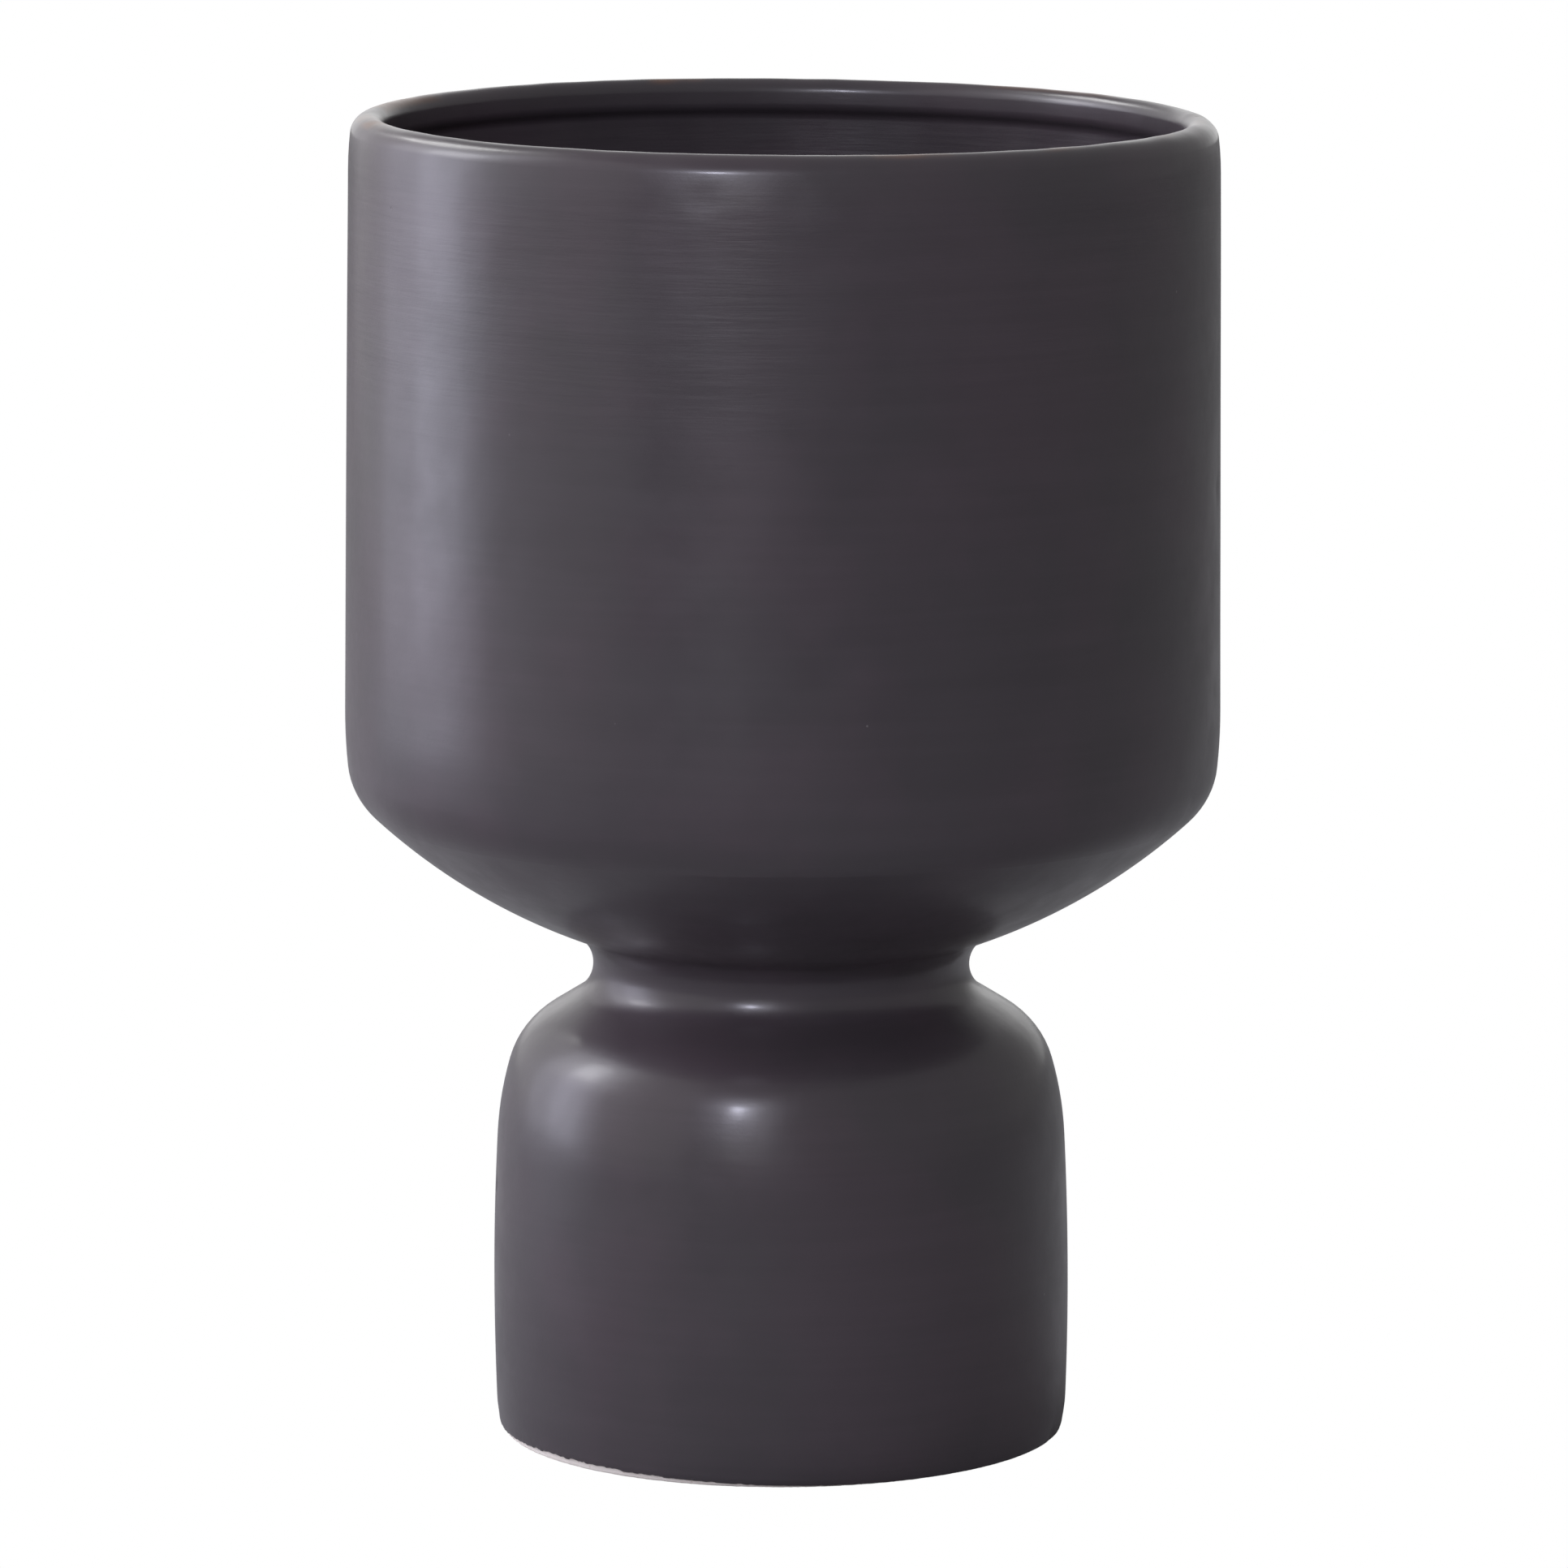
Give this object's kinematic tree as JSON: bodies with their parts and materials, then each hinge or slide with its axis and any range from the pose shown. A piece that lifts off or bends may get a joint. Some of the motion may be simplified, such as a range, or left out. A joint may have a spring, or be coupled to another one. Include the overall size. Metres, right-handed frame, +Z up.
{
  "type": "footed ceramic candle vessel",
  "caption": "Deep round ceramic bowl on a narrow waist and a hollow bell-shaped foot, dark satin glaze, bare clay standing ring, open mouth for candle wax.",
  "frame": {"origin": "centre of the standing ring, on the plane that the vessel rests on", "axes": "+Z up along the vessel's axis, out of the open mouth; +X and +Y are any two square directions, as the vessel is round"},
  "size_m": [0.1318, 0.1318, 0.2003],
  "materials": {
    "bare_clay": "unglazed fired clay, matt and slightly gritty",
    "joining_clay": "fired joining slip, matt",
    "dark_glaze": "satin charcoal plum glaze"
  },
  "bodies": {
    "root": {"bowl_casting": "bare_clay", "foot_casting": "bare_clay", "luting_slip": "joining_clay", "outer_glaze": "dark_glaze", "bowl_lining_glaze": "dark_glaze", "foot_lining_glaze": "dark_glaze"}
  },
  "joints": []
}
